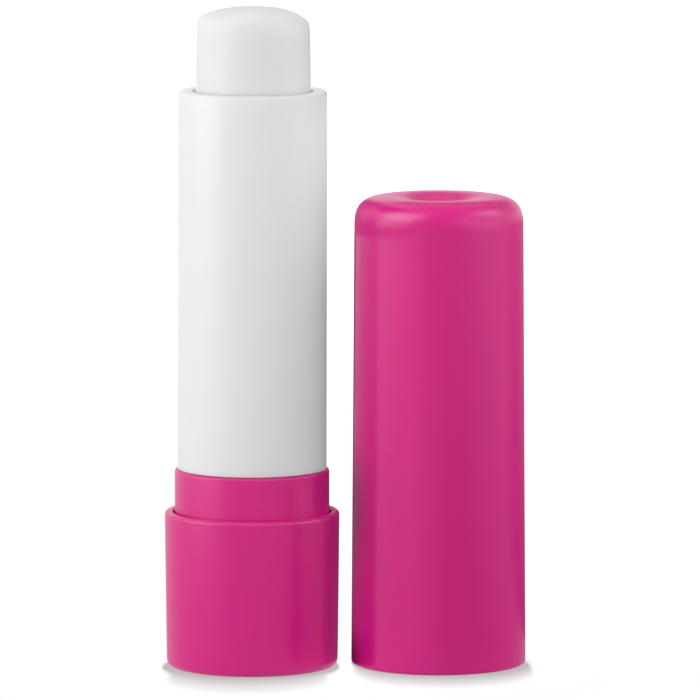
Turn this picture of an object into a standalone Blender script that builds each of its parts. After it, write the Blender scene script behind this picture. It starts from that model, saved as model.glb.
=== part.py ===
"""Twist-up lip balm stick, open, with its cap standing beside it.

Metres, +Z up. The origin is the centre of the stick's flat foot, and the stick stands on its own axis.
Turning the barrel in the collar drives the carrier up the fixed spindle and pushes the balm out.
"""
from math import atan2, cos, pi, radians, sin, tan

import bmesh
import bpy
from mathutils import Vector

# Clearances and cuts
seat_gap = 0.00005
running_gap = 0.0001
foot_gap = 0.0003
overrun = 0.001
merge_distance = 0.000001

# Balm: a wax stick with a domed top, bored for the spindle
balm_radius = 0.00622
balm_length = 0.0496
balm_draft = 0.00008
balm_dome_height = 0.00103
balm_dome_power = 2.8
balm_shoulder_width = 0.0003
balm_shoulder_drop = 0.0018
balm_solid_top = 0.0072
balm_gap = 0.00028
balm_rise = 0.00905

# Barrel: the white tube, stepped down to a spigot that turns in the collar
barrel_wall = 0.0016
barrel_length = 0.0411
barrel_draft = 0.00005
barrel_lip_round = 0.0003
spigot_wall_share = 0.6
snap_bead_height = 0.00025
snap_bead_width = 0.0012
snap_bead_place_share = 0.75
key_groove_width = 0.002
key_groove_depth = 0.0005
key_groove_stop = 0.005
key_count = 2

# Collar: the sleeve seated in the base cup
collar_step = 0.0003
collar_rise = 0.0046
collar_edge_round = 0.0003

# Base cup: the part that the fingers turn
cup_height = 0.017
cup_wall = 0.0009
cup_draft = 0.0002
cup_floor = 0.0013
cup_valley = 0.0002
cup_rim_round = 0.00042
cup_foot_round = 0.0008
grip_rib_count = 12
grip_rib_width = 0.0006
socket_height = 0.0025
socket_wall = 0.0011

# Spindle: a coarse right-hand screw on a flange and a six-sided foot
screw_lead = 0.004
screw_radius = 0.0025
thread_depth = 0.00085
thread_gap = 0.0002
screw_length = 0.0492
screw_tip_length = 0.0012
flange_thickness = 0.001
hex_radius = 0.0032
root_share = 0.52
flank_share = 0.14

# Carrier: the nut, plate and cup that lift the balm
nut_length = 0.0055
nut_wall = 0.0012
carrier_plate = 0.0012
carrier_wall = 0.0007
carrier_wall_height = 0.003
web_count = 4
web_thickness = 0.0008

# Cap: drafted shell with a superelliptic shoulder and a dished top
cap_length = 0.0511
cap_draft = 0.00032
cap_bore_draft = 0.0003
cap_roof = 0.0012
cap_crest_radius = 0.0054
cap_shoulder_drop = 0.0035
cap_shoulder_power = 3.0
cap_dish_depth = 0.0012
cap_mouth_round = 0.00035
cap_rib_count = 6
cap_rib_width = 0.001
cap_rib_length = 0.0036
cap_stand_gap = 0.00136
cap_stand_angle = radians(5.1)

# Fineness of the round forms
outer_steps = 48
inner_steps = 32
screw_steps_per_turn = 12
arc_steps = 3
shoulder_steps = 9
dish_steps = 5
dome_steps = 5
balm_shoulder_steps = 3
thread_root_steps = 5
thread_crest_steps = 3
smooth_angle = radians(35)

# Radii that follow from the sizes above, from the inside out
barrel_bore = balm_radius + balm_gap
barrel_radius = barrel_bore + barrel_wall
spigot_radius = barrel_bore + barrel_wall * spigot_wall_share
collar_bore = spigot_radius + running_gap
collar_radius = barrel_radius + collar_step
cup_bore = collar_radius + cup_valley
cup_radius = cup_bore + cup_wall
cap_radius = cup_radius
cap_bore = collar_radius + cup_valley
cap_wall = cap_radius - cap_bore
cap_stand_distance = cup_radius + cap_stand_gap + cap_radius
nut_bore = screw_radius + thread_gap
nut_radius = nut_bore + nut_wall
carrier_radius = barrel_bore - running_gap - seat_gap
carrier_bore = carrier_radius - carrier_wall
key_groove_radius = barrel_bore + key_groove_depth

# Heights that follow from the sizes above, from the floor up
socket_top = cup_floor + socket_height
flange_bottom = socket_top + seat_gap
flange_top = flange_bottom + flange_thickness
collar_top = cup_height + collar_rise
barrel_shoulder = collar_top + seat_gap
barrel_mouth = barrel_shoulder + barrel_length
barrel_foot = flange_top + foot_gap
spigot_length = barrel_shoulder - barrel_foot
snap_bead_middle = barrel_foot + spigot_length * snap_bead_place_share
balm_top = barrel_mouth + balm_rise
balm_foot = balm_top - balm_length
plate_top = balm_foot - seat_gap
plate_bottom = plate_top - carrier_plate
nut_bottom = plate_bottom - nut_length
screw_top = flange_top + screw_length


def new_collection(name):
    collection = bpy.data.collections.new(name)
    bpy.context.scene.collection.children.link(collection)
    return collection


def new_material(name, colour, roughness, subsurface=0.0):
    material = bpy.data.materials.new(name)
    material.use_nodes = True
    shader = material.node_tree.nodes["Principled BSDF"]
    shader.inputs["Base Color"].default_value = (*colour, 1.0)
    shader.inputs["Roughness"].default_value = roughness
    shader.inputs["Metallic"].default_value = 0.0
    shader.inputs["Subsurface Weight"].default_value = subsurface
    material.diffuse_color = (*colour, 1.0)
    return material


def rounded_outline(corners, closed=False):
    """Points of an outline whose corners are (x, z, radius), each radius worn to an arc."""
    points = []
    count = len(corners)
    for index, (x, z, radius) in enumerate(corners):
        corner = Vector((x, z))
        at_end = not closed and index in (0, count - 1)
        if radius == 0 or at_end:
            points.append(corner)
            continue
        before = (Vector(corners[index - 1][:2]) - corner).normalized()
        after = (Vector(corners[(index + 1) % count][:2]) - corner).normalized()
        half_angle = before.angle(after) / 2
        centre = corner + (before + after).normalized() * radius / sin(half_angle)
        start = corner + before * radius / tan(half_angle) - centre
        finish = corner + after * radius / tan(half_angle) - centre
        turn = atan2(start.x * finish.y - start.y * finish.x, start.dot(finish))
        first = atan2(start.y, start.x)
        for step in range(arc_steps + 1):
            angle = first + turn * step / arc_steps
            points.append(centre + Vector((cos(angle), sin(angle))) * radius)
    return points


def settle(part):
    """Give the part the mesh that its modifiers make, smooth but for its real edges."""
    evaluated = part.evaluated_get(bpy.context.evaluated_depsgraph_get())
    mesh = bpy.data.meshes.new_from_object(evaluated)
    part.modifiers.clear()
    part.data = mesh
    mesh.shade_smooth()
    mesh.set_sharp_from_angle(angle=smooth_angle)


def add_object(name, mesh, collection, material=None):
    part = bpy.data.objects.new(name, mesh)
    collection.objects.link(part)
    if material:
        mesh.materials.append(material)
    return part


def outline_mesh(name, points, closed):
    """A mesh of edges along points given as three coordinates each."""
    count = len(points)
    edges = [(index, index + 1) for index in range(count - 1)]
    if closed:
        edges.append((count - 1, 0))
    mesh = bpy.data.meshes.new(name)
    mesh.from_pydata(points, edges, [])
    return mesh


def turned(name, outline, steps, collection, closed=False, material=None):
    """Turn an outline of (x, z) points about +Z. It runs down the outer side."""
    mesh = outline_mesh(name, [(x, 0, z) for x, z in outline], closed)
    part = add_object(name, mesh, collection, material)
    screw = part.modifiers.new("turn", "SCREW")
    screw.steps = steps
    screw.render_steps = steps
    screw.use_merge_vertices = True
    screw.merge_threshold = merge_distance
    screw.use_smooth_shade = True
    return part


def block(name, low, high, collection, angle=0.0):
    """A box between two corners, turned about +Z."""
    work = bmesh.new()
    bmesh.ops.create_cube(work, size=1.0)
    middle = (Vector(low) + Vector(high)) / 2
    spans = Vector(high) - Vector(low)
    bmesh.ops.scale(work, vec=spans, verts=work.verts)
    bmesh.ops.translate(work, vec=middle, verts=work.verts)
    mesh = bpy.data.meshes.new(name)
    work.to_mesh(mesh)
    work.free()
    part = add_object(name, mesh, collection)
    part.rotation_euler.z = angle
    return part


def prism(name, sides, radius, bottom, top, collection):
    """A regular prism standing on the axis."""
    work = bmesh.new()
    bmesh.ops.create_cone(work, cap_ends=True, segments=sides, radius1=radius, radius2=radius, depth=top - bottom)
    bmesh.ops.translate(work, vec=(0, 0, (top + bottom) / 2), verts=work.verts)
    mesh = bpy.data.meshes.new(name)
    work.to_mesh(mesh)
    work.free()
    return add_object(name, mesh, collection)


def combine(part, tool, operation):
    boolean = part.modifiers.new(tool.name, "BOOLEAN")
    boolean.operation = operation
    boolean.solver = "EXACT"
    boolean.object = tool
    tool.hide_render = True
    tool.display_type = "WIRE"


def spaced(count, first=0.0):
    return [first + 2 * pi * index / count for index in range(count)]


def arc(radius, start, finish, steps):
    """Points on a circle about the axis, with both ends."""
    angles = [start + (finish - start) * step / steps for step in range(steps + 1)]
    return [(radius * cos(angle), radius * sin(angle), 0) for angle in angles]


def screw_section(root, crest, widening):
    """Section of a single-start thread square to its axis: a root arc, a flank, a crest arc, a flank.

    The angle stands for the height along the thread, so one whole turn of the section is one lead.
    """
    root_turn = 2 * pi * root_share - widening
    flank_turn = 2 * pi * flank_share
    crest_start = root_turn + flank_turn
    crest_end = 2 * pi - flank_turn
    shift = widening / 2
    root_arc = arc(root, shift, root_turn + shift, thread_root_steps)
    crest_arc = arc(crest, crest_start + shift, crest_end + shift, thread_crest_steps)
    return root_arc + crest_arc


def threaded_rod(name, section, bottom, length, collection):
    """Sweep a section up the axis in a right-hand helix, from the phase that it has at the floor."""
    turns = length / screw_lead
    steps = max(1, round(turns * screw_steps_per_turn))
    rod = add_object(name, outline_mesh(name, section, True), collection)
    sweep = rod.modifiers.new("thread", "SCREW")
    sweep.angle = 2 * pi * turns
    sweep.screw_offset = length
    sweep.steps = steps
    sweep.render_steps = steps
    sweep.merge_threshold = merge_distance
    settle(rod)
    work = bmesh.new()
    work.from_mesh(rod.data)
    open_edges = [edge for edge in work.edges if edge.is_boundary]
    bmesh.ops.holes_fill(work, edges=open_edges)
    bmesh.ops.recalc_face_normals(work, faces=work.faces)
    phase = 2 * pi * bottom / screw_lead
    for vertex in work.verts:
        x, y, z = vertex.co
        vertex.co = (x * cos(phase) - y * sin(phase), x * sin(phase) + y * cos(phase), z + bottom)
    work.to_mesh(rod.data)
    work.free()
    return rod


def base_cup(parts, cutters, pink):
    foot_radius = cup_radius - cup_draft
    outline = rounded_outline([
        (0, socket_top, 0),
        (hex_radius + socket_wall, socket_top, 0),
        (hex_radius + socket_wall, cup_floor, 0),
        (cup_bore, cup_floor, 0),
        (cup_bore, cup_height, cup_rim_round / 2),
        (cup_radius, cup_height, cup_rim_round),
        (foot_radius, 0, cup_foot_round),
        (0, 0, 0),
    ])
    cup = turned("base_cup", outline, outer_steps, parts, material=pink)
    hexagon = prism("socket_cutter", 6, hex_radius, cup_floor, socket_top + overrun, cutters)
    combine(cup, hexagon, "DIFFERENCE")
    rib_inner = collar_radius + seat_gap
    rib_outer = cup_bore + cup_wall / 2
    rib_top = cup_height - grip_rib_width - cup_rim_round
    for index, angle in enumerate(spaced(grip_rib_count, pi / grip_rib_count)):
        low = (rib_inner, -grip_rib_width / 2, cup_floor / 2)
        high = (rib_outer, grip_rib_width / 2, rib_top)
        rib = block(f"grip_rib_{index + 1}", low, high, cutters, angle)
        combine(cup, rib, "UNION")
    settle(cup)
    return cup


def collar(parts, pink):
    groove_half = snap_bead_width / 2 + running_gap
    groove_radius = spigot_radius + snap_bead_height + running_gap
    bottom = cup_floor + seat_gap
    outline = rounded_outline([
        (collar_bore, collar_top, 0),
        (collar_radius, collar_top, collar_edge_round),
        (collar_radius, bottom, 0),
        (collar_bore, bottom, 0),
        (collar_bore, snap_bead_middle - groove_half - snap_bead_height, 0),
        (groove_radius, snap_bead_middle - groove_half, 0),
        (groove_radius, snap_bead_middle + groove_half, 0),
        (collar_bore, snap_bead_middle + groove_half, 0),
    ], closed=True)
    sleeve = turned("collar", outline, outer_steps, parts, closed=True, material=pink)
    settle(sleeve)
    return sleeve


def barrel(parts, cutters, white):
    bead_radius = spigot_radius + snap_bead_height
    bead_half = snap_bead_width / 2
    mouth_radius = barrel_radius - barrel_draft
    small_round = barrel_lip_round / 2
    outline = rounded_outline([
        (barrel_bore, barrel_mouth, small_round),
        (mouth_radius, barrel_mouth, barrel_lip_round),
        (barrel_radius, barrel_shoulder, 0),
        (spigot_radius, barrel_shoulder, 0),
        (spigot_radius, snap_bead_middle + bead_half, 0),
        (bead_radius, snap_bead_middle + bead_half, 0),
        (bead_radius, snap_bead_middle, 0),
        (spigot_radius, snap_bead_middle - bead_half, 0),
        (spigot_radius, barrel_foot, 0),
        (barrel_bore, barrel_foot, 0),
    ], closed=True)
    tube = turned("barrel", outline, outer_steps, parts, closed=True, material=white)
    for index, angle in enumerate(spaced(key_count)):
        low = (0, -key_groove_width / 2, barrel_foot - overrun)
        high = (key_groove_radius, key_groove_width / 2, barrel_mouth - key_groove_stop)
        groove = block(f"key_groove_{index + 1}", low, high, cutters, angle)
        combine(tube, groove, "DIFFERENCE")
    settle(tube)
    return tube


def spindle(parts, cutters, natural):
    flange_radius = collar_bore - running_gap
    hub_radius = screw_radius + thread_depth / 2
    hub_top = flange_top + thread_depth / 4
    outline = [
        (0, hub_top),
        (screw_radius + thread_depth / 4, hub_top),
        (hub_radius, flange_top),
        (flange_radius, flange_top),
        (flange_radius, flange_bottom),
        (0, flange_bottom),
    ]
    part = turned("spindle", outline, inner_steps, parts, material=natural)
    foot = prism("spindle_foot", 6, hex_radius - running_gap, cup_floor + seat_gap, flange_top - seat_gap, cutters)
    combine(part, foot, "UNION")
    section = screw_section(screw_radius - thread_depth, screw_radius, 0)
    rod_bottom = flange_bottom + seat_gap
    rod_top = screw_top - screw_tip_length
    rod = threaded_rod("spindle_thread", section, rod_bottom, rod_top - rod_bottom, cutters)
    combine(part, rod, "UNION")
    tip_outline = [
        (0, screw_top),
        (thread_depth, screw_top),
        (screw_radius - thread_depth - thread_gap, rod_top - thread_gap),
        (0, rod_top - thread_depth),
    ]
    tip = turned("spindle_tip", tip_outline, inner_steps, cutters)
    combine(part, tip, "UNION")
    settle(part)
    return part


def carrier(parts, cutters, natural):
    rim = plate_bottom + carrier_plate + carrier_wall_height
    outline = rounded_outline([
        (0, plate_top, 0),
        (carrier_bore, plate_top, 0),
        (carrier_bore, rim, carrier_wall / 4),
        (carrier_radius, rim, carrier_wall / 4),
        (carrier_radius, plate_bottom, 0),
        (nut_radius, plate_bottom, 0),
        (nut_radius, nut_bottom, carrier_wall / 2),
        (0, nut_bottom, 0),
    ])
    part = turned("carrier", outline, inner_steps, parts, material=natural)
    key_radius = key_groove_radius - running_gap
    key_half = key_groove_width / 2 - running_gap
    for index, angle in enumerate(spaced(key_count)):
        low = (carrier_bore + carrier_wall / 2, -key_half, plate_bottom)
        key = block(f"carrier_key_{index + 1}", low, (key_radius, key_half, rim), cutters, angle)
        combine(part, key, "UNION")
    web_radius = carrier_radius - carrier_wall
    for index, angle in enumerate(spaced(web_count, pi / web_count)):
        low = (nut_radius - nut_wall / 2, -web_thickness / 2, plate_bottom - nut_length / 2)
        high = (web_radius, web_thickness / 2, plate_bottom + carrier_plate / 2)
        web = block(f"carrier_web_{index + 1}", low, high, cutters, angle)
        combine(part, web, "UNION")
    widening = 2 * pi * thread_gap / screw_lead
    section = screw_section(nut_bore - thread_depth, nut_bore, widening)
    bottom = nut_bottom - overrun
    thread = threaded_rod("nut_thread", section, bottom, plate_top + overrun - bottom, cutters)
    combine(part, thread, "DIFFERENCE")
    settle(part)
    return part


def balm(parts, wax):
    foot_radius = carrier_bore - seat_gap
    wall_top = plate_bottom + carrier_plate + carrier_wall_height + seat_gap
    bore = screw_radius + balm_gap
    top_radius = balm_radius - balm_draft
    dome_radius = top_radius - balm_shoulder_width
    dome_foot = balm_top - balm_dome_height
    crown = []
    for step in range(dome_steps + 1):
        share = step / dome_steps
        crown.append((dome_radius * share, balm_top - balm_dome_height * share ** balm_dome_power, 0))
    for step in range(1, balm_shoulder_steps + 1):
        angle = pi / 2 * step / balm_shoulder_steps
        radius = dome_radius + balm_shoulder_width * sin(angle)
        crown.append((radius, dome_foot - balm_shoulder_drop * (1 - cos(angle)), 0))
    outline = rounded_outline(crown + [
        (balm_radius, wall_top, 0),
        (foot_radius, wall_top, 0),
        (foot_radius, balm_foot, 0),
        (bore, balm_foot, 0),
        (bore, balm_top - balm_solid_top, bore / 3),
        (0, balm_top - balm_solid_top, 0),
    ])
    stick = turned("balm", outline, inner_steps, parts, material=wax)
    settle(stick)
    return stick


def cap_outline():
    """The shell's outline from the roof's underside, down the bore, round the mouth and up again."""
    shoulder_radius = cap_radius - cap_draft
    shoulder_start = cap_length - cap_shoulder_drop
    power = 2 / cap_shoulder_power
    outside = []
    for step in range(dish_steps):
        radius = cap_crest_radius * step / dish_steps
        sink = (1 + cos(pi * step / dish_steps)) / 2
        outside.append((radius, cap_length - cap_dish_depth * sink, 0))
    for step in range(shoulder_steps + 1):
        angle = pi / 2 * step / shoulder_steps
        radius = cap_crest_radius + (shoulder_radius - cap_crest_radius) * sin(angle) ** power
        height = shoulder_start + cap_shoulder_drop * cos(angle) ** power
        outside.append((radius, height, 0))
    roof_height = cap_length - cap_dish_depth - cap_roof
    inside = [
        (cap_radius, 0, cap_mouth_round),
        (cap_bore, 0, cap_mouth_round / 2),
        (cap_bore, cap_rib_length + collar_edge_round, 0),
        (cap_bore - cap_bore_draft, roof_height - cap_wall, 0),
        (cap_crest_radius, roof_height, 0),
        (0, roof_height, 0),
    ]
    return rounded_outline(outside + inside)


def cap(parts, cutters, pink):
    shell = turned("cap", cap_outline(), outer_steps, parts, material=pink)
    for index, angle in enumerate(spaced(cap_rib_count)):
        low = (collar_radius + seat_gap, -cap_rib_width / 2, cap_mouth_round)
        high = (cap_bore + cap_wall / 2, cap_rib_width / 2, cap_rib_length)
        rib = block(f"cap_rib_{index + 1}", low, high, cutters, angle)
        combine(shell, rib, "UNION")
    settle(shell)
    shell.location.x = cap_stand_distance * cos(cap_stand_angle)
    shell.location.y = cap_stand_distance * sin(cap_stand_angle)
    return shell


def build():
    for thing in list(bpy.data.objects):
        bpy.data.objects.remove(thing)
    parts = new_collection("lip_balm_stick")
    cutters = new_collection("cutters")
    pink = new_material("pink_plastic", (0.58, 0.03, 0.20), 0.35)
    white = new_material("white_plastic", (0.86, 0.86, 0.86), 0.35)
    natural = new_material("natural_plastic", (0.80, 0.80, 0.78), 0.45)
    wax = new_material("wax", (0.84, 0.84, 0.83), 0.5, 0.2)
    cup = base_cup(parts, cutters, pink)
    sleeve = collar(parts, pink)
    screw = spindle(parts, cutters, natural)
    tube = barrel(parts, cutters, white)
    lift = carrier(parts, cutters, natural)
    stick = balm(parts, wax)
    cap(parts, cutters, pink)
    sleeve.parent = cup
    screw.parent = cup
    tube.parent = cup
    lift.parent = tube
    stick.parent = lift


build()
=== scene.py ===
"""Looks of the lip balm stick: fine surfaces, finishes, floor, light and camera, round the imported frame."""
from collections import namedtuple
from math import atan2, cos, pi, radians, sin, tan

import bpy
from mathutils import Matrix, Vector


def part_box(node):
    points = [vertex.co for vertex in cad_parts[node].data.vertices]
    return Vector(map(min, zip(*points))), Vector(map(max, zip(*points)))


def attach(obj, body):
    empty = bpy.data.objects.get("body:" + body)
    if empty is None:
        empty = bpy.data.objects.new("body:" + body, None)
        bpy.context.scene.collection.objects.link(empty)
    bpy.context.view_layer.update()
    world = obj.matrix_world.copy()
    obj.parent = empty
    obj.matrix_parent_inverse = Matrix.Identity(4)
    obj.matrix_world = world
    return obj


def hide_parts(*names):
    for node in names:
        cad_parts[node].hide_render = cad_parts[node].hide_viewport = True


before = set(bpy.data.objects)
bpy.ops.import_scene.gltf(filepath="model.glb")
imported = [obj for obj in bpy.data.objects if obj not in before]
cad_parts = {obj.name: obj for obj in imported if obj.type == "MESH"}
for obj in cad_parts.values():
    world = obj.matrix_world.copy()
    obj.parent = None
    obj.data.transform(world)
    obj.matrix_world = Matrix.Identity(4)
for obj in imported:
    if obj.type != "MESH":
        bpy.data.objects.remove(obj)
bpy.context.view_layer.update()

# Camera, as fitted to the photograph's ellipses
camera_place = (0.01064, -0.8789, 0.144)
camera_pitch = radians(7.101)
camera_lens = 420.3
camera_sensor = 36.0
camera_reach = 20.0

# Fineness of the turned surfaces
turn_steps = 192
arc_steps = 8
merge_distance = 0.0000005
sharp_angle = radians(40)

# Play of the tube in its collar, as a share of the height above it
lean_share = 0.0035

# Range that most of a noise texture keeps to
noise_low = 0.3
noise_high = 0.7

# Moulded plastic: the flow in its colour, the patches in its gloss and its skin
flow_scale = 120
flow_detail = 2.0
flow_stretch = (1, 1, 0.3)
patch_scale = 350
patch_detail = 4.0
skin_scale = 1500
skin_detail = 2.0
skin_height = 0.00001

# Ground: half its width, how far it lies under the feet, and its colour to the camera
floor_half = 4.0
floor_gap = 0.00002
floor_colour = (0.293, 0.3, 0.3)
# Its glow to the camera where the object stands, and the distances between which it becomes plain white
floor_glow = 0.47
glow_from = 0.04
glow_full = 0.3
# Its glow where the pieces mirror it, left and right, and the places along X between which that changes
# The mirrored glow is a painted reflection, brighter on the left than on the right
floor_mirrored_left = 0.7
floor_mirrored_right = 0.4
mirrored_from = 0.0
mirrored_to = 0.04
# Its glow as soft light on the pieces
floor_bounce = 0.54

# A plain white glow, and a surface that gives no light back
white = (1, 1, 1, 1)
black = (0, 0, 0)

# Softboxes: name, degrees round and up, distance, width, height, and radiance at the stick and at the cap
softboxes = (
    ("key", 62, 36, 0.6, 0.45, 0.4, 0.88, 4.6),
    ("low_key", 70, 8, 0.5, 0.4, 0.12, 5.9, 2.1),
    ("high_key", 50, 60, 0.6, 0.4, 0.3, 0.0, 0.8),
    ("far_left", 90, 20, 0.6, 0.45, 0.4, 1.0, 1.0),
    ("back_left", 120, 20, 0.6, 0.45, 0.4, 0.37, 0.65),
    ("left", 40, 25, 0.7, 0.4, 0.4, 0.35, 0.25),
    ("front", 0, 25, 0.8, 0.4, 0.4, 2.35, 0.0),
    ("right", -40, 25, 0.7, 0.4, 0.4, 1.15, 1.0),
    ("right_side", -65, 30, 0.6, 0.45, 0.4, 0.75, 1.8),
    ("far_right", -90, 20, 0.6, 0.45, 0.4, 1.35, 0.3),
    ("low_right", -70, 8, 0.5, 0.4, 0.12, 1.95, 1.3),
    ("near_right", -90, 40, 0.25, 0.15, 0.15, 0.0, 1.9),
    ("back_right", -130, 25, 0.5, 0.3, 0.3, 0.0, 0.5),
    ("back", 180, 50, 0.8, 0.7, 0.4, 1.4, 0.5),
    ("top", 0, 88, 0.7, 0.6, 0.6, 0.93, 0.0),
)
# The point that they face, between the stick and the cap
softbox_aim = (0.01, 0.0, 0.035)
# Those that light the cap without being mirrored in it
unmirrored = ("right_side", "far_right")

# Strip lamp for the floor alone
strip_place = (0.009, 0.085, 1.0)
strip_width = 0.01
strip_length = 0.17
strip_radiance = 3300.0

# Rows that the cards stand in: behind and in front of the pieces
back_row = 0.016
far_row = 0.03
front_row = -0.02
# Cards back to back between the stick and the cap: where each side lies, and where its cards meet
stick_side = 0.01064
cap_side = 0.01084
side_front = -0.013
side_back = 0.014
side_top = 0.062
stick_join = 0.04
cap_join = 0.047
cap_left_front = -0.0045
cap_left_back = 0.001

# Cards: name, line on the ground, lowest and highest place, and the mirrored glow at the foot and the top
# Their glow is painted reflection: the pieces mirror each card as a band, from black to bright
cards = (
    ("stick_back_card", ((-0.002, back_row), (0.013, back_row)), 0.0, 0.0435, 0.6, 0.0),
    ("cap_back_card", ((0.013, back_row), (0.035, back_row), (0.12, far_row)), 0.0, 0.048, 0.06, 0.36),
    ("top_card", ((0.012, 0.012), (0.016, far_row), (0.056, far_row), (0.064, 0.012)),
        0.061, 0.15, 0.15, 0.3),
    ("stick_front_card", ((-0.008, front_row), (0.0115, front_row)), 0.0, 0.07, 0.65, 1.35),
    ("cap_front_card", ((0.0205, front_row), (0.042, front_row)), 0.0, 0.055, 0.3, 1.0),
    ("base_side_card", ((0.0106, -0.0095), (0.0106, -0.0042)), 0.0, 0.021, 0.9, 0.9),
    ("stick_side_card", ((stick_side, side_front), (stick_side, side_back)), 0.0, stick_join, 0.1, 0.0),
    ("stick_near_card", ((stick_side, -0.0195), (stick_side, side_front)), 0.0, side_top, 0.5, 0.9),
    ("stick_high_card", ((stick_side, side_front), (stick_side, side_back)), stick_join, side_top, 0.0, 0.9),
    ("cap_side_card", ((cap_side, cap_left_back), (cap_side, side_back)), 0.0, cap_join, 0.0, 0.0),
    ("cap_left_card", ((cap_side, cap_left_front), (cap_side, cap_left_back)), 0.0, cap_join, 0.0, 0.75),
    ("cap_near_card", ((cap_side, -0.024), (cap_side, cap_left_front)), 0.0, cap_join, 0.94, 1.6),
    ("cap_high_card", ((cap_side, side_front), (cap_side, side_back)), cap_join, side_top, 0.33, 0.0),
)
# Those that soft light meets too, so that the cap doesn't tinge the stick, and the one that gives some back
parting_cards = ("stick_side_card", "stick_high_card", "cap_side_card", "cap_left_card", "cap_high_card")
# Its glow is painted soft light on the stick, though it is no lamp
soft_card = "stick_high_card"
soft_share = 0.4
# The one whose pink glow is a painted reflection of the cap, where the cup mirrors it
pink_card = "base_side_card"
pink_glow = (0.8, 0.42, 0.4, 1)

RoundNode = namedtuple("RoundNode", "x y radius low high")


def round_node(name):
    """Centre, largest radius, lowest and highest place of a turned CAD node."""
    low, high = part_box(name)
    centre = (low + high) / 2
    return RoundNode(centre.x, centre.y, (high.x - low.x) / 2, low.z, high.z)


def add_object(name, data):
    """A new object in the scene's own collection."""
    made = bpy.data.objects.new(name, data)
    bpy.context.scene.collection.objects.link(made)
    return made


# Turned surfaces

def rounded_outline(corners, closed=False):
    """Points of an outline whose corners are (x, z, radius), each radius worn to an arc."""
    points = []
    count = len(corners)
    for index, (x, z, radius) in enumerate(corners):
        corner = Vector((x, z))
        at_end = not closed and index in (0, count - 1)
        if radius == 0 or at_end:
            points.append(corner)
            continue
        before = (Vector(corners[index - 1][:2]) - corner).normalized()
        after = (Vector(corners[(index + 1) % count][:2]) - corner).normalized()
        half_angle = before.angle(after) / 2
        centre = corner + (before + after).normalized() * radius / sin(half_angle)
        start = corner + before * radius / tan(half_angle) - centre
        finish = corner + after * radius / tan(half_angle) - centre
        turn = atan2(start.x * finish.y - start.y * finish.x, start.dot(finish))
        first = atan2(start.y, start.x)
        for step in range(arc_steps + 1):
            angle = first + turn * step / arc_steps
            points.append(centre + Vector((cos(angle), sin(angle))) * radius)
    return points


def turned(name, outline, place, closed=False):
    """Turn an outline of (x, z) points about a vertical axis. It runs down the outer side."""
    count = len(outline)
    edges = [(index, index + 1) for index in range(count - 1)]
    if closed:
        edges.append((count - 1, 0))
    mesh = bpy.data.meshes.new(name)
    mesh.from_pydata([(x, 0, z) for x, z in outline], edges, [])
    part = add_object(name, mesh)
    screw = part.modifiers.new("turn", "SCREW")
    screw.steps = turn_steps
    screw.render_steps = turn_steps
    screw.use_merge_vertices = True
    screw.merge_threshold = merge_distance
    settle(part)
    part.location = (*place, 0)
    return part


def settle(part):
    """Give the part the mesh that its modifiers make, smooth but for its real edges."""
    evaluated = part.evaluated_get(bpy.context.evaluated_depsgraph_get())
    mesh = bpy.data.meshes.new_from_object(evaluated)
    part.modifiers.clear()
    part.data = mesh
    mesh.shade_smooth()
    mesh.set_sharp_from_angle(angle=sharp_angle)


def lean(part, start):
    """Tip what stands above the start: the tube has a little play in its collar."""
    for vertex in part.data.vertices:
        vertex.co.x += lean_share * max(0, vertex.co.z - start)


def wear_side(part, radius, high, length, drop):
    """Wear a turned piece down towards +X: most at its top edge, and less along the length below."""
    start = high - length
    for vertex in part.data.vertices:
        side = max(0, vertex.co.x / radius) * vertex.co.xy.length / radius
        depth = max(0, (vertex.co.z - start) / length)
        vertex.co.z -= drop * side ** 2 * depth


def dress(part, material, body, node):
    """Give a piece its material and the body that it rides on, and hide the CAD node that it replaces."""
    part.data.materials.clear()
    part.data.materials.append(material)
    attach(part, body)
    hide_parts(node)
    return part


# Materials

def shader_of(name, colour, roughness):
    """A new material with its node tree and its main shader."""
    material = bpy.data.materials.new(name)
    material.use_nodes = True
    shader = material.node_tree.nodes["Principled BSDF"]
    shader.inputs["Base Color"].default_value = (*colour, 1)
    shader.inputs["Roughness"].default_value = roughness
    return material, material.node_tree, shader


def feed(tree, socket, value):
    """Give a socket a number, or link it to another node's output."""
    if isinstance(value, (int, float)):
        socket.default_value = value
    else:
        tree.links.new(value, socket)


def place_in(tree):
    """The place on the surface, in object space."""
    return tree.nodes.new("ShaderNodeTexCoord").outputs["Object"]


def add_noise(tree, scale, detail, stretch=None):
    """A noise texture in object space, drawn out along an axis by stretch."""
    noise = tree.nodes.new("ShaderNodeTexNoise")
    noise.inputs["Scale"].default_value = scale
    noise.inputs["Detail"].default_value = detail
    source = place_in(tree)
    if stretch:
        mapping = tree.nodes.new("ShaderNodeMapping")
        mapping.inputs["Scale"].default_value = stretch
        tree.links.new(source, mapping.inputs["Vector"])
        source = mapping.outputs["Vector"]
    tree.links.new(source, noise.inputs["Vector"])
    return noise.outputs["Fac"]


def ramp(tree, source, start, end, low, high):
    """A number that runs from low to high while its source runs from start to end."""
    node = tree.nodes.new("ShaderNodeMapRange")
    for socket, value in (("From Min", start), ("From Max", end), ("To Min", low), ("To Max", high)):
        node.inputs[socket].default_value = value
    tree.links.new(source, node.inputs["Value"])
    return node.outputs["Result"]


def tint(tree, source, colour, other):
    """Blend two colours by a texture, or by a kind of ray."""
    mix = tree.nodes.new("ShaderNodeMix")
    mix.data_type = "RGBA"
    mix.inputs["A"].default_value = (*colour, 1)
    mix.inputs["B"].default_value = (*other, 1)
    tree.links.new(source, mix.inputs["Factor"])
    return mix.outputs["Result"]


def add_bump(tree, shader, source, distance, strength):
    """Raise a skin on the surface by a texture."""
    bump = tree.nodes.new("ShaderNodeBump")
    bump.inputs["Distance"].default_value = distance
    bump.inputs["Strength"].default_value = strength
    tree.links.new(source, bump.inputs["Height"])
    tree.links.new(bump.outputs["Normal"], shader.inputs["Normal"])


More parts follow.
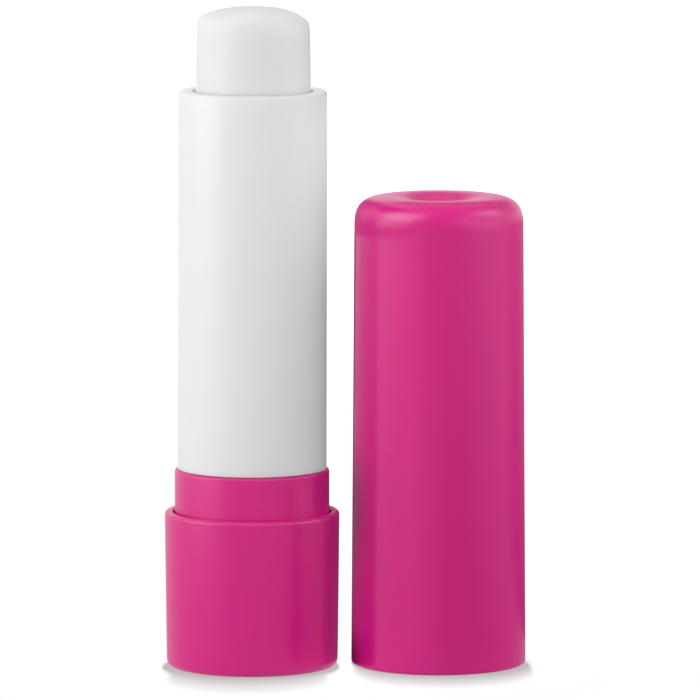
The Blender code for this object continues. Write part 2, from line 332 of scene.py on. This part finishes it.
def let_light_sink(shader, weight, shares, depth):
    """Let some light sink in, each colour by its share of the depth."""
    shader.inputs["Subsurface Weight"].default_value = weight
    shader.inputs["Subsurface Radius"].default_value = shares
    shader.inputs["Subsurface Scale"].default_value = depth


def moulded_plastic(name, colour, other, roughness, uneven, grain):
    """Moulded plastic: faint flow in its colour, uneven gloss and a fine skin."""
    material, tree, shader = shader_of(name, colour, roughness)
    flow = ramp(tree, add_noise(tree, flow_scale, flow_detail, flow_stretch), noise_low, noise_high, 0, 1)
    tree.links.new(tint(tree, flow, colour, other), shader.inputs["Base Color"])
    patches = add_noise(tree, patch_scale, patch_detail)
    gloss = ramp(tree, patches, noise_low, noise_high, roughness - uneven, roughness + uneven)
    tree.links.new(gloss, shader.inputs["Roughness"])
    add_bump(tree, shader, add_noise(tree, skin_scale, skin_detail), skin_height, grain)
    return material, shader


def pink_plastic():
    """Satin pink of the cup, the collar and the cap. Red light sinks in the furthest."""
    colour = (0.716, 0.005, 0.23)
    other = (0.7, 0.004, 0.224)
    material, shader = moulded_plastic(
        "pink_plastic", colour, other, roughness=0.31, uneven=0.025, grain=0.12)
    sink_shares = (0.6, 0.15, 0.3)
    sink_depth = 0.0008
    let_light_sink(shader, weight=0.08, shares=sink_shares, depth=sink_depth)
    return material


def white_plastic():
    """Satin white of the tube."""
    colour = (0.87, 0.87, 0.87)
    other = (0.85, 0.85, 0.85)
    material, shader = moulded_plastic(
        "white_plastic", colour, other, roughness=0.38, uneven=0.03, grain=0.1)
    sink_shares = (1, 1, 1)
    sink_depth = 0.0012
    let_light_sink(shader, weight=0.35, shares=sink_shares, depth=sink_depth)
    return material


def natural_plastic():
    """Plain uncoloured plastic of the screw and the carrier."""
    colour = (0.80, 0.80, 0.78)
    other = (0.76, 0.76, 0.74)
    material, shader = moulded_plastic(
        "natural_plastic", colour, other, roughness=0.45, uneven=0.05, grain=0.15)
    sink_shares = (1, 1, 0.9)
    sink_depth = 0.0015
    let_light_sink(shader, weight=0.4, shares=sink_shares, depth=sink_depth)
    return material


def wax():
    """Soft wax of the balm."""
    colour = (0.84, 0.84, 0.835)
    other = (0.80, 0.80, 0.79)
    material, shader = moulded_plastic(
        "wax", colour, other, roughness=0.48, uneven=0.06, grain=0.3)
    sink_shares = (1, 1, 0.95)
    sink_depth = 0.002
    let_light_sink(shader, weight=0.6, shares=sink_shares, depth=sink_depth)
    return material


# Pieces

def base_cup(material):
    """A shallow cup with a rounded rim and foot, and a narrow valley round the collar."""
    node = round_node("base_cup")
    floor_top = 0.0013
    collar_gap = 0.0002
    draft = 0.0002
    rim_round = 0.00042
    inner_round_share = 0.6
    foot_round = 0.0008
    bore = round_node("collar").radius + collar_gap
    outline = rounded_outline([
        (0, floor_top, 0),
        (bore, floor_top, 0),
        (bore, node.high, rim_round * inner_round_share),
        (node.radius, node.high, rim_round),
        (node.radius - draft, node.low, foot_round),
        (0, node.low, 0),
    ])
    part = turned("cup_shell", outline, (node.x, node.y))
    return dress(part, material, "base", "base_cup")


def collar(material):
    """A sleeve with a worn top edge."""
    node = round_node("collar")
    bore = 0.00756
    top_round = 0.0003
    edge_round = 0.0001
    outline = rounded_outline([
        (bore, node.high, edge_round),
        (node.radius, node.high, top_round),
        (node.radius, node.low, edge_round),
        (bore, node.low, edge_round),
    ], closed=True)
    part = turned("collar_sleeve", outline, (node.x, node.y), closed=True)
    return dress(part, material, "base", "collar")


def barrel(material):
    """A tube whose shoulder rests on the collar and whose spigot turns in it."""
    node = round_node("barrel")
    bore = 0.0065
    spigot = 0.00746
    collar_gap = 0.00005
    draft = 0.00005
    bore_round = 0.00015
    mouth_round = 0.0003
    shoulder_round = 0.00005
    foot_round = 0.0002
    shoulder = round_node("collar").high + collar_gap
    outline = rounded_outline([
        (bore, node.high, bore_round),
        (node.radius - draft, node.high, mouth_round),
        (node.radius, shoulder, shoulder_round),
        (spigot, shoulder, 0),
        (spigot, node.low, foot_round),
        (bore, node.low, foot_round),
    ], closed=True)
    part = turned("barrel_tube", outline, (node.x, node.y), closed=True)
    lean(part, shoulder)
    return dress(part, material, "barrel", "barrel")


def balm(material):
    """A cast stick with a shallow dome, a steep shoulder and one side worn rounder."""
    node = round_node("balm")
    draft = 0.00008
    draft_length = 0.0075
    off_centre = 0.00006
    dome_drop = 0.00103
    dome_power = 2.8
    dome_steps = 28
    shoulder_width = 0.0003
    shoulder_drop = 0.0018
    shoulder_first_step = 2
    shoulder_steps = 20
    worn_length = 0.0072
    worn_drop = 0.0007
    dome_radius = node.radius - draft - shoulder_width
    dome_foot = node.high - dome_drop
    crown = []
    for step in range(dome_steps + 1):
        share = step / dome_steps
        crown.append((dome_radius * share, node.high - dome_drop * share ** dome_power, 0))
    for step in range(shoulder_first_step, shoulder_steps + 1):
        angle = pi / 2 * step / shoulder_steps
        across = dome_radius + shoulder_width * sin(angle)
        crown.append((across, dome_foot - shoulder_drop * (1 - cos(angle)), 0))
    outline = rounded_outline(crown + [
        (node.radius, node.high - draft_length, 0),
        (node.radius, node.low, 0),
        (0, node.low, 0),
    ])
    part = turned("balm_stick", outline, (node.x + off_centre, node.y))
    wear_side(part, node.radius, node.high, worn_length, worn_drop)
    lean(part, round_node("collar").high)
    return dress(part, material, "carrier", "balm")


def cap(material):
    """A shell with a dished top, a large soft shoulder and a plain bore."""
    node = round_node("cap")
    crest_radius = 0.0054
    dish = 0.0012
    dish_steps = 20
    shoulder_drop = 0.0035
    shoulder_power = 2 / 3
    shoulder_steps = 32
    draft = 0.00032
    foot_round = 0.00035
    wall = 0.0009
    mouth_round = 0.00018
    mouth_depth = 0.0039
    bore_draft = 0.0003
    roof_wall = 0.0012
    roof_round = 0.0008
    shoulder_radius = node.radius - draft
    shoulder_foot = node.high - shoulder_drop
    outside = []
    for step in range(dish_steps):
        share = step / dish_steps
        outside.append((crest_radius * share, node.high - dish * (1 + cos(pi * share)) / 2, 0))
    for step in range(shoulder_steps + 1):
        angle = pi / 2 * step / shoulder_steps
        across = crest_radius + (shoulder_radius - crest_radius) * sin(angle) ** shoulder_power
        outside.append((across, shoulder_foot + shoulder_drop * cos(angle) ** shoulder_power, 0))
    bore = node.radius - wall
    roof = node.high - dish - roof_wall
    outline = rounded_outline(outside + [
        (node.radius, node.low, foot_round),
        (bore, node.low, mouth_round),
        (bore, node.low + mouth_depth, 0),
        (bore - bore_draft, roof - wall, roof_round),
        (crest_radius, roof, 0),
        (0, roof, 0),
    ])
    part = turned("cap_shell", outline, (node.x, node.y))
    return dress(part, material, "cap", "cap")


def inner_pieces(material):
    """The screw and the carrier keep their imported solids."""
    for name in ("spindle", "carrier"):
        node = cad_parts[name]
        node.data.materials.clear()
        node.data.materials.append(material)


# Stage

def ray_is(tree, kind):
    """1 for one kind of ray and 0 for the others."""
    return tree.nodes.new("ShaderNodeLightPath").outputs[kind]


def place_along(tree, axis):
    """The place on the surface along one axis."""
    parts = tree.nodes.new("ShaderNodeSeparateXYZ")
    tree.links.new(place_in(tree), parts.inputs["Vector"])
    return parts.outputs[axis]


def distance_out(tree):
    """The distance from the middle of the surface."""
    length = tree.nodes.new("ShaderNodeVectorMath")
    length.operation = "LENGTH"
    tree.links.new(place_in(tree), length.inputs[0])
    return length.outputs["Value"]


def combined(tree, operation, first, second):
    """Two numbers put together by a math operation."""
    node = tree.nodes.new("ShaderNodeMath")
    node.operation = operation
    feed(tree, node.inputs[0], first)
    feed(tree, node.inputs[1], second)
    return node.outputs[0]


def mixed(tree, otherwise, chosen, factor):
    """A number that goes from the first to the second one as the factor goes from 0 to 1."""
    node = tree.nodes.new("ShaderNodeMix")
    feed(tree, node.inputs["A"], otherwise)
    feed(tree, node.inputs["B"], chosen)
    feed(tree, node.inputs["Factor"], factor)
    return node.outputs["Result"]


def seen_rays(tree):
    """1 for the rays that meet white surroundings: the camera's, reflections and what passes through."""
    seen = ray_is(tree, "Is Camera Ray")
    for kind in ("Is Glossy Ray", "Is Transmission Ray"):
        seen = combined(tree, "MAXIMUM", seen, ray_is(tree, kind))
    return seen


def stage_material(name, colour, glow_colour):
    """A dull material that can glow and isn't sampled as a lamp."""
    dull = 1.0
    material, tree, shader = shader_of(name, colour, dull)
    shader.inputs["Specular IOR Level"].default_value = 0.0
    shader.inputs["Emission Color"].default_value = glow_colour
    material.cycles.emission_sampling = "NONE"
    return material, tree, shader


def floor_material():
    """White ground: pale where the object stands, with the object's shadow, and plain white further out."""
    material, tree, shader = stage_material("floor", floor_colour, white)
    colour = tint(tree, ray_is(tree, "Is Camera Ray"), black, floor_colour)
    tree.links.new(colour, shader.inputs["Base Color"])
    outward = ramp(tree, distance_out(tree), glow_from, glow_full, 0, 1)
    glow = mixed(tree, floor_glow, 1.0, outward)
    along = place_along(tree, "X")
    near = ramp(tree, along, mirrored_from, mirrored_to, floor_mirrored_left, floor_mirrored_right)
    mirrored = mixed(tree, near, 1.0, outward)
    strength = mixed(tree, floor_bounce, glow, seen_rays(tree))
    strength = mixed(tree, strength, mirrored, ray_is(tree, "Is Glossy Ray"))
    tree.links.new(strength, shader.inputs["Emission Strength"])
    return material


def add_sheet(name, corners, faces, material):
    """A thin stage piece made of a few flat faces."""
    mesh = bpy.data.meshes.new(name)
    mesh.from_pydata(corners, [], faces)
    mesh.materials.append(material)
    return add_object(name, mesh)


def build_floor():
    """A wide sheet just under the feet."""
    half = floor_half
    corners = [(-half, -half, 0), (half, -half, 0), (half, half, 0), (-half, half, 0)]
    floor = add_sheet("floor", corners, [(0, 1, 2, 3)], floor_material())
    floor.location.z = -floor_gap
    return floor


def build_world():
    """White surroundings, to be seen and mirrored. They give no soft light."""
    world = bpy.data.worlds.new("studio")
    bpy.context.scene.world = world
    world.use_nodes = True
    world.cycles.sampling_method = "NONE"
    tree = world.node_tree
    background = tree.nodes["Background"]
    background.inputs["Color"].default_value = white
    tree.links.new(seen_rays(tree), background.inputs["Strength"])


def card_material(name, low, high, foot_glow, top_glow):
    """Black, with a glow in reflections that changes from the foot to the top: a painted reflection."""
    # The pink card glows in the cap's colour: a painted reflection of the cap
    material, tree, shader = stage_material(name, black, pink_glow if name == pink_card else white)
    level = ramp(tree, place_along(tree, "Z"), low, high, foot_glow, top_glow)
    glow = mixed(tree, 0.0, level, ray_is(tree, "Is Glossy Ray"))
    # Painted soft light: this card also glows for the stick's soft light
    if name == soft_card:
        soft = combined(tree, "MULTIPLY", level, soft_share)
        glow = mixed(tree, glow, soft, ray_is(tree, "Is Diffuse Ray"))
    tree.links.new(glow, shader.inputs["Emission Strength"])
    return material


def card(name, line, low, high, foot_glow, top_glow):
    """An upright card in the reflections. The camera doesn't see it, and it shades nothing from the lamps."""
    corners = [(x, y, low) for x, y in line] + [(x, y, high) for x, y in line]
    count = len(line)
    faces = [(k, k + 1, count + k + 1, count + k) for k in range(count - 1)]
    sheet = add_sheet(name, corners, faces, card_material(name, low, high, foot_glow, top_glow))
    sheet.visible_camera = False
    sheet.visible_shadow = False
    sheet.visible_transmission = False
    sheet.visible_diffuse = name in parting_cards


def area_lamp(name, width, height, radiance):
    """A rectangular lamp of even brightness."""
    light = bpy.data.lights.new(name, "AREA")
    light.shape = "RECTANGLE"
    light.size = width
    light.size_y = height
    light.energy = radiance * pi * width * height
    light.cycles.use_multiple_importance_sampling = False
    lamp = add_object(name, light)
    lamp.visible_camera = False
    return lamp


def softbox(name, degrees_round, degrees_up, distance, width, height, radiance):
    """A lamp that faces the object, its place counted round from the camera's side towards -X."""
    azimuth = radians(degrees_round)
    elevation = radians(degrees_up)
    lamp = area_lamp(name, width, height, radiance)
    away = Vector((-sin(azimuth) * cos(elevation), -cos(azimuth) * cos(elevation), sin(elevation)))
    lamp.location = Vector(softbox_aim) + away * distance
    lamp.rotation_mode = "QUATERNION"
    lamp.rotation_quaternion = away.to_track_quat("Z", "Y")
    return lamp


def linked(name, things, state):
    """A group of things that a lamp is linked to, or that it leaves out."""
    group = bpy.data.collections.new(name)
    for thing in things:
        group.objects.link(thing)
    for entry in group.collection_objects:
        entry.light_linking.link_state = state
    return group


def build_softboxes(stick, loose_cap):
    """The stick and its cap are lit from the same sides, each at its own level. Neither shades the other."""
    stick_lit = linked("stick_lit", stick, "INCLUDE")
    cap_lit = linked("cap_lit", loose_cap, "INCLUDE")
    all_but_stick = linked("all_but_stick", stick, "EXCLUDE")
    all_but_cap = linked("all_but_cap", loose_cap, "EXCLUDE")
    for name, *setting, at_stick, at_cap in softboxes:
        pairs = (("stick_", at_stick, stick_lit, all_but_cap), ("cap_", at_cap, cap_lit, all_but_stick))
        for group, radiance, lit, shading in pairs:
            if radiance == 0:
                continue
            lamp = softbox(group + name, *setting, radiance)
            lamp.visible_glossy = group == "stick_" or name not in unmirrored
            lamp.light_linking.receiver_collection = lit
            lamp.light_linking.blocker_collection = shading


def build_strip(floor):
    """A narrow lamp over the floor, which gives the soft shadow in front of each piece."""
    strip = area_lamp("strip", strip_width, strip_length, strip_radiance)
    strip.location = strip_place
    strip.light_linking.receiver_collection = linked("floor_alone", [floor], "INCLUDE")


def build_camera():
    """The photograph's camera."""
    data = bpy.data.cameras.new("camera")
    data.sensor_width = camera_sensor
    data.lens = camera_lens
    data.clip_end = camera_reach
    camera = add_object("camera", data)
    camera.location = camera_place
    camera.rotation_euler = (pi / 2 - camera_pitch, 0, 0)
    bpy.context.scene.camera = camera


def main():
    """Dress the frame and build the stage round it."""
    bpy.context.scene.view_settings.view_transform = "Standard"
    build_camera()
    pink = pink_plastic()
    stick = [base_cup(pink), collar(pink), barrel(white_plastic()), balm(wax())]
    loose_cap = [cap(pink)]
    inner_pieces(natural_plastic())
    floor = build_floor()
    build_world()
    for sizes in cards:
        card(*sizes)
    build_softboxes(stick, loose_cap)
    build_strip(floor)


main()
